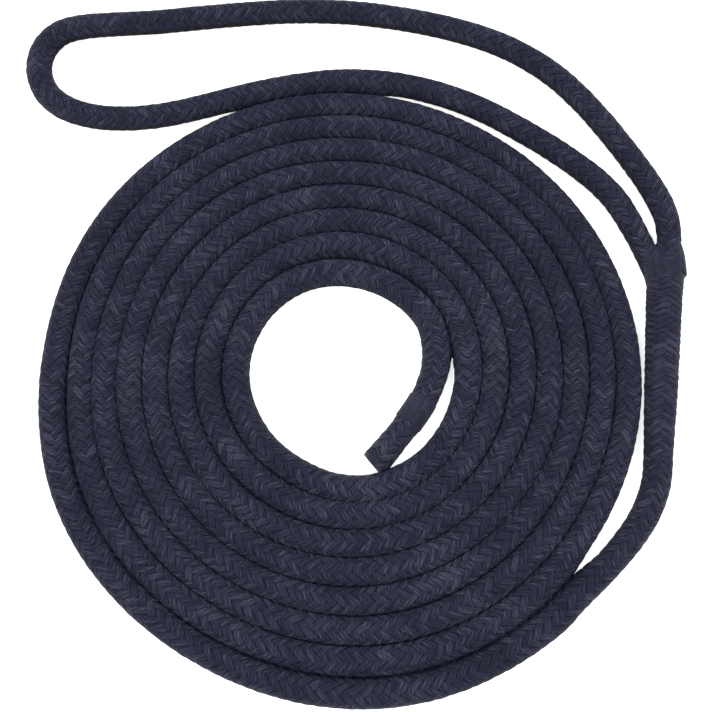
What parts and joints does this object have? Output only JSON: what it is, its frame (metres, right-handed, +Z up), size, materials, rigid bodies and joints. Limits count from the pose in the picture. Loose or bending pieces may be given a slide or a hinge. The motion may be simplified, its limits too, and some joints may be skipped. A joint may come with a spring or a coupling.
{
  "type": "coiled dock line",
  "caption": "Double-braid mooring rope laid in a flat one-layer spiral coil, with a long spliced eye at its outer end and a whipped, heat-sealed bitter end inside.",
  "frame": {"origin": "middle of the footprint, on the surface that the line lies on", "axes": "+Z up, square to the flat coil; +Y from the coil towards the eye's long legs; the splice is on the +X side and the eye's folded end points to -X"},
  "size_m": [0.2504, 0.2671, 0.0134],
  "materials": {
    "nylon_cover": "navy braided nylon yarn, soft low sheen",
    "nylon_core": "navy braided nylon core, matte",
    "whipping_twine": "navy waxed whipping twine",
    "sealed_nylon": "heat-fused nylon, glossy and uneven"
  },
  "bodies": {
    "root": {"coil_line": "nylon_cover", "lead_cover": "nylon_cover", "tail_cover": "nylon_cover", "splice_cover": "nylon_cover", "buried_tail": "nylon_cover", "throat_crossover": "nylon_cover", "eye_cover": "nylon_cover", "lead_core": "nylon_core", "tail_core": "nylon_core", "splice_core": "nylon_core", "eye_core": "nylon_core", "end_whipping": "whipping_twine", "throat_stitches": "whipping_twine", "sealed_tip": "sealed_nylon"}
  },
  "joints": []
}
